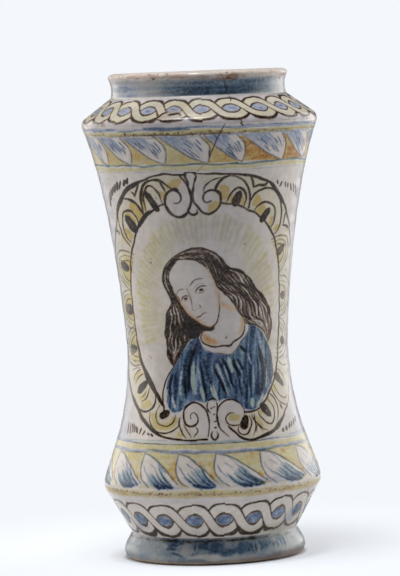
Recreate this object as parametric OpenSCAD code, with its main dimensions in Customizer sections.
// Waisted drug jar: a thrown, tin-glazed albarello with a sharp upper edge, a soft lower edge and a cushion foot.
// All sizes are in millimetres. The jar stands on z = 0, its axis is +Z and its painted front faces -Y.

/* [Heights] */
// Standing edge to the crest of the lip
total_h = 250; // [210:1:320]
// Cushion foot, from the standing edge to the crease above it
foot_h = 13.5; // [10:0.5:20]
// Widest place of the cushion foot above the standing edge
belly_h = 4.6; // [3:0.1:7]
// Base cone, from the crease to the lower edge
base_h = 24; // [18:0.5:34]
// Shoulder slope, from the upper edge to the neck
shoulder_h = 12; // [8:0.5:20]
// Neck with its lip
neck_h = 12.5; // [9:0.5:20]
// Place of the waist in the tall wall, as a share of it
waist_share = 0.38; // [0.25:0.005:0.6]

/* [Outer radii] */
// Cushion foot at its widest
foot_r = 46.8; // [42:0.1:56]
// Crease between the foot and the base cone
ankle_r = 42.9; // [38:0.1:48]
// Lower edge, before its corner is softened
lower_edge_r = 56.4; // [50:0.1:68]
// Waist
waist_r = 41.6; // [36:0.1:50]
// Upper edge, before its corner is softened
upper_edge_r = 61.6; // [54:0.1:72]
// Foot of the neck, where the shoulder meets it
neck_r = 45.2; // [41:0.1:54]
// How far the lip turns out past the foot of the neck
lip_out = 1.1; // [0.3:0.1:4]

/* [Curves] */
// Lean of the wall just below the upper edge, in degrees from upright
flare_angle = 23; // [10:0.5:35]
// Reach of that flare into the tall wall, as a share of its upper part
flare_reach = 0.34; // [0.2:0.01:0.5]
// Reach of the waist's upright stretch towards the lower edge, as a share of the wall's lower part
waist_reach = 0.6; // [0.3:0.01:0.75]
// Reach of the lower edge's upright stretch towards the waist, as a share of the wall's lower part
edge_reach = 0.16; // [0.05:0.01:0.3]
// Depth of the neck's hollow below a straight line from the shoulder to the lip
neck_hollow = 0.9; // [0:0.1:2]
// How far the cushion foot rounds in from its widest place to its standing edge
foot_round = 3.2; // [1:0.1:6]
// Softening of the upper edge
upper_edge_round = 4.5; // [1:0.1:7]
// Softening of the lower edge
lower_edge_round = 7; // [1:0.1:10]
// Softening of the lip
lip_round = 2.2; // [1:0.1:2.8]

/* [Walls] */
// Neck at its foot, with the glaze on both its faces
neck_t = 5.2; // [4.2:0.1:7]
// Fired clay wall of the shoulder, the tall wall and the base cone
wall = 6; // [4.5:0.1:8]
// Fired clay floor, above the hollow of the base
floor_t = 8; // [6:0.5:12]
// Hollow under the base
hollow_d = 3.5; // [2:0.5:5]
// Radius of the hollow and of the round boss above it, inside the foot
boss_r = 36; // [30:0.5:38]
// Rounding where the wall meets the floor inside
floor_round = 11; // [5:0.5:16]

/* [Glaze] */
// Thickness of the tin glaze, outside and inside
glaze = 0.5; // [0.3:0.05:0.8]
// Bare clay left at the standing edge
bare_h = 1.6; // [1:0.1:2.8]

/* [Joints between the thrown sections] */
// Height of the ridge that locks each section into the next
ridge_h = 2.2; // [1:0.1:3]
// Half the width of that ridge at its foot
ridge_half = 1.3; // [0.8:0.1:1.6]

/* [Hidden] */
$fn = 128;
steps = 24;
corner_steps = 7;
clay_color = [0.72, 0.60, 0.47];
glaze_color = [0.88, 0.87, 0.88];
far = 2 * upper_edge_r;

base_z = foot_h;
lower_z = base_z + base_h;
shoulder_z = total_h - neck_h - shoulder_h;
neck_z = total_h - neck_h;
wall_h = shoulder_z - lower_z;
waist_z = lower_z + waist_share * wall_h;
upper_part = shoulder_z - waist_z;
lower_part = waist_z - lower_z;
lip_r = neck_r + lip_out;
mouth_r = neck_r - neck_t;
lip_mid_r = (lip_r + mouth_r) / 2;
floor_z = hollow_d + floor_t;

// Points of a cubic curve, its first point left out so that stretches can follow each other.
function cubic(a, b, c, d, n) = [for (i = [1:n]) let (t = i / n, s = 1 - t)
  s * s * s * a + 3 * s * s * t * b + 3 * s * t * t * c + t * t * t * d];
function unit(v) = v / norm(v);
function left_of(v) = [-v[1], v[0]];
function cross2(a, b) = a[0] * b[1] - a[1] * b[0];

// Arc of radius r that softens the corner at b, on the way from a to c.
function softened(a, b, c, r, n) = let (
  u = unit(a - b), w = unit(c - b),
  half = acos(u * w) / 2,
  reach = r / tan(half),
  hub = b + unit(u + w) * r / sin(half),
  from = b + u * reach - hub,
  turn = (cross2(from, b + w * reach - hub) > 0 ? 1 : -1) * (180 - 2 * half)
) [for (i = [0:n]) let (g = turn * i / n)
  hub + [from[0] * cos(g) - from[1] * sin(g), from[0] * sin(g) + from[1] * cos(g)]];

// Path moved sideways by d, to the left of its direction, with mitred corners.
function moved(path, d) = let (last = len(path) - 1) [for (i = [0:last]) let (
  p = path[i],
  before = unit(i > 0 ? p - path[i - 1] : path[1] - p),
  after = unit(i < last ? path[i + 1] - p : p - path[i - 1]),
  m = unit(left_of(before) + left_of(after))
) p + m * d / (m * left_of(after))];

function reversed(path) = [for (i = [len(path) - 1:-1:0]) path[i]];

// Outer line of the glazed jar in radius and height, from the standing edge up to the crest of the lip.
ankle = [ankle_r, base_z];
lower_edge = [lower_edge_r, lower_z];
upper_edge = [upper_edge_r, shoulder_z];
neck_foot = [neck_r, neck_z];
waist = [waist_r, waist_z];
flare = flare_reach * upper_part * [sin(flare_angle), cos(flare_angle)];

// Quarter of an ellipse from the standing edge, at -90 degrees, to the widest place of the foot, at 0.
function foot_arc(from, to, n) = [for (i = [0:n]) let (g = from + (to - from) * i / n)
  [foot_r - foot_round * (1 - cos(g)), belly_h * (1 + sin(g))]];
glaze_from = asin(bare_h / belly_h - 1);
bare_line = foot_arc(-90, glaze_from, corner_steps);
foot_line = concat(foot_arc(glaze_from, 0, corner_steps), cubic([foot_r, belly_h],
  [foot_r, belly_h + 0.35 * (foot_h - belly_h)], [ankle_r + 0.32 * (foot_r - ankle_r), 0.74 * foot_h], ankle, corner_steps));
lower_wall = cubic(lower_edge, lower_edge + [0, edge_reach * lower_part], waist - [0, waist_reach * lower_part], waist, steps);
upper_wall = cubic(waist, waist + [0, 0.06 * upper_part], upper_edge - flare, upper_edge, steps);
neck_line = cubic(neck_foot, neck_foot + [-neck_hollow, neck_h / 4], [neck_r - neck_hollow, neck_z + neck_h / 2],
  [lip_r, total_h - lip_round], corner_steps);
lip_line = cubic([lip_r, total_h - lip_round], [lip_r, total_h - 0.4 * lip_round], [lip_mid_r + 0.6 * lip_round, total_h], [lip_mid_r, total_h], corner_steps);

// Points of a path that lie between two heights.
function between(path, low, high) = [for (p = path) if (p[1] > low && p[1] < high) p];

lower_corner = softened(ankle, lower_edge, lower_wall[2], lower_edge_round, corner_steps);
upper_corner = softened(upper_edge - flare, upper_edge, neck_foot, upper_edge_round, corner_steps);
wall_line = concat(
  lower_corner,
  between(lower_wall, lower_corner[corner_steps][1] + 0.5, waist_z + 0.1),
  between(upper_wall, waist_z, upper_corner[0][1] - 0.5),
  upper_corner);
glaze_line = concat(foot_line, wall_line, [neck_foot], neck_line, lip_line);

// Inner line of the fired clay, from the crest of the lip down to the middle of the floor.
clay_line = moved(glaze_line, glaze);
crest = clay_line[len(clay_line) - 1];
bore_r = mouth_r + glaze;
bore_top = [bore_r, crest[1] - lip_round];
inner_path = moved(concat([ankle, lower_edge], between(lower_wall, lower_z + wall / 2, waist_z + 0.1),
  between(upper_wall, waist_z + 0.1, shoulder_z - wall), [upper_edge, neck_foot]), glaze + wall);
inner_wall = between([for (i = [0:len(inner_path) - 2]) inner_path[i]], floor_z + floor_round, total_h);
inner_top = inner_wall[len(inner_wall) - 1];
inner_low = inner_wall[0];
inner_ankle = ankle + (glaze + wall) * unit(left_of(lower_edge - ankle));
floor_corner = [inner_low[0] - (inner_low[1] - floor_z) * (inner_low[0] - inner_ankle[0]) / (inner_low[1] - inner_ankle[1]), floor_z];
bore_foot = [bore_r, inner_top[1] + (inner_top[0] - bore_r) * shoulder_h / (upper_edge_r - neck_r)];
inner_line = concat(
  [crest],
  cubic(crest, crest - [0.5 * lip_round, 0], bore_top + [0, 0.6 * lip_round], bore_top, corner_steps),
  [bore_foot],
  reversed(inner_wall),
  softened(inner_low, floor_corner, [0, floor_z], floor_round, corner_steps),
  [[0, floor_z]]);

// Whole fired clay in section: the glaze covers it outside from bare_h up, and inside all over.
module clay_section() {
  polygon(concat(bare_line, clay_line, [for (i = [1:len(inner_line) - 1]) inner_line[i]],
    [[0, hollow_d], [boss_r, hollow_d], [boss_r, 0]]));
}

// Seam between two sections at height z: a ridge of the lower one, around mid_r, stands in a groove of the upper one.
function seam(z, mid_r) = [[0, z], [mid_r - ridge_half, z], [mid_r, z + ridge_h], [mid_r + ridge_half, z], [far, z]];
lower_seam = seam(lower_z, lower_edge_r - glaze - wall / 2);
upper_seam = seam(shoulder_z - ridge_h, upper_edge_r - glaze - upper_edge_round / 3 - wall / 2);
neck_seam = seam(neck_z, (bore_r + neck_r - glaze) / 2);

module above(path) { polygon(concat(path, [[far, total_h + far], [0, total_h + far]])); }
module foot_place() { polygon([[boss_r, -1], [far, -1], [far, foot_h], [boss_r, foot_h]]); }

// Turned cushion foot, around the boss of the base.
module foot_ring() {
  color(clay_color) rotate_extrude() intersection() { clay_section(); foot_place(); }
}

// Floor, boss and base cone, thrown as one bowl.
module base_bowl() {
  color(clay_color) rotate_extrude() difference() { clay_section(); foot_place(); above(lower_seam); }
}

// Tall wall drawn in at the waist.
module waist_wall() {
  color(clay_color) rotate_extrude() difference() {
    intersection() { clay_section(); above(lower_seam); }
    above(upper_seam);
  }
}

// Sloping shoulder.
module shoulder_ring() {
  color(clay_color) rotate_extrude() difference() {
    intersection() { clay_section(); above(upper_seam); }
    above(neck_seam);
  }
}

// Neck with its turned-out lip.
module neck_collar() {
  color(clay_color) rotate_extrude() intersection() { clay_section(); above(neck_seam); }
}

// Painted tin glaze, from above the standing edge to the crest of the lip.
module outer_glaze() {
  color(glaze_color) rotate_extrude() polygon(concat(glaze_line, reversed(clay_line)));
}

// Plain tin glaze lining, from the crest of the lip over the floor.
module inner_glaze() {
  color(glaze_color) rotate_extrude() polygon(concat(inner_line, reversed(moved(inner_line, -glaze))));
}

foot_ring();
base_bowl();
waist_wall();
shoulder_ring();
neck_collar();
outer_glaze();
inner_glaze();
